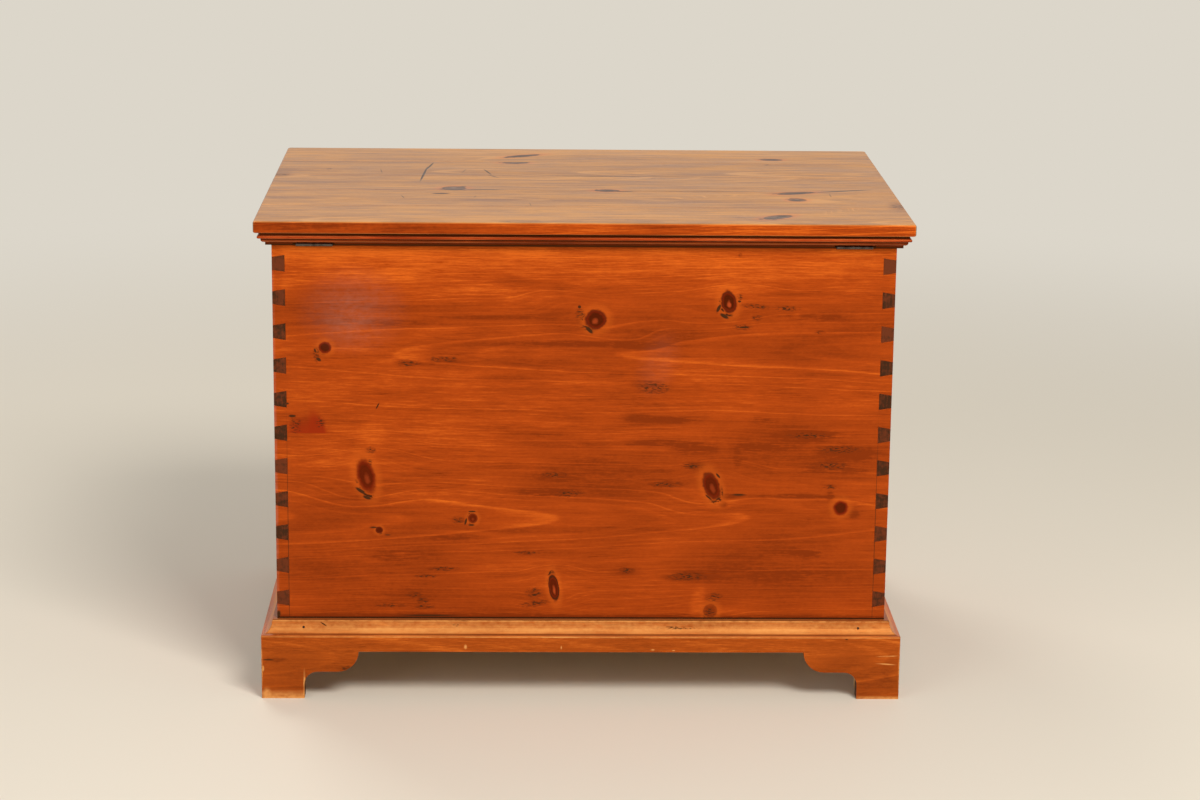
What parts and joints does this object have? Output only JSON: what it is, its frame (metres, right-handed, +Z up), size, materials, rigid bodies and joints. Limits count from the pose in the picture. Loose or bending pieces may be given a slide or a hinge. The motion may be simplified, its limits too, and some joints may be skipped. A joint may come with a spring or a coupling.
{
  "type": "blanket chest",
  "caption": "Pine blanket chest with a dovetailed case, a moulded base on bracket feet, and a hinged lid over a moulded frame.",
  "frame": {"origin": "on the floor, under the middle of the chest", "axes": "+X to the chest's right along its length, +Y to its back, where the hinges are, +Z up"},
  "size_m": [0.918, 0.6416, 0.6943],
  "materials": {
    "case_pine": "orange shellac on pine, worn satin gloss",
    "moulded_pine": "orange shellac on pine, rubbed thin on the edges",
    "lid_pine": "worn clear shellac on pine, satin",
    "bare_pine": "planed, unfinished",
    "hinge_steel": "darkened with age",
    "screw_steel": "dull",
    "nail_steel": "darkened with age"
  },
  "bodies": {
    "case": {"back_board": "case_pine", "front_board": "case_pine", "left_end_board": "case_pine", "right_end_board": "case_pine", "base_rail_back": "moulded_pine", "base_rail_front": "moulded_pine", "base_rail_left": "moulded_pine", "base_rail_right": "moulded_pine", "base_nail_back_1": "nail_steel", "base_nail_back_2": "nail_steel", "base_nail_front_1": "nail_steel", "base_nail_front_2": "nail_steel", "base_nail_left_1": "nail_steel", "base_nail_left_2": "nail_steel", "base_nail_right_1": "nail_steel", "base_nail_right_2": "nail_steel", "corner_block_back_right": "bare_pine", "corner_block_back_left": "bare_pine", "corner_block_front_left": "bare_pine", "corner_block_front_right": "bare_pine", "bottom_cleat_back": "bare_pine", "bottom_cleat_front": "bare_pine", "bottom_cleat_left": "bare_pine", "bottom_cleat_right": "bare_pine", "bottom_plank_1": "bare_pine", "bottom_plank_2": "bare_pine", "bottom_plank_3": "bare_pine", "bottom_plank_4": "bare_pine", "hinge_left_pin": "hinge_steel", "hinge_left_case_leaf": "hinge_steel", "hinge_left_case_screw_1": "screw_steel", "hinge_left_case_screw_2": "screw_steel", "hinge_left_case_screw_3": "screw_steel", "hinge_right_pin": "hinge_steel", "hinge_right_case_leaf": "hinge_steel", "hinge_right_case_screw_1": "screw_steel", "hinge_right_case_screw_2": "screw_steel", "hinge_right_case_screw_3": "screw_steel"},
    "lid": {"lid_board_1": "lid_pine", "lid_board_2": "lid_pine", "lid_board_3": "lid_pine", "lid_board_4": "lid_pine", "lid_board_5": "lid_pine", "lid_frame_back": "moulded_pine", "lid_frame_front": "moulded_pine", "lid_frame_left": "moulded_pine", "lid_frame_right": "moulded_pine", "hinge_left_lid_leaf": "hinge_steel", "hinge_left_lid_screw_1": "screw_steel", "hinge_left_lid_screw_2": "screw_steel", "hinge_left_lid_screw_3": "screw_steel", "hinge_right_lid_leaf": "hinge_steel", "hinge_right_lid_screw_1": "screw_steel", "hinge_right_lid_screw_2": "screw_steel", "hinge_right_lid_screw_3": "screw_steel"}
  },
  "joints": [
    {"name": "lid_hinge", "type": "hinge", "parent": "case", "child": "lid", "pos_m": [0, 0.3004, 0.6584], "axis": [-1, 0, 0], "range_deg": [0, 125]}
  ]
}
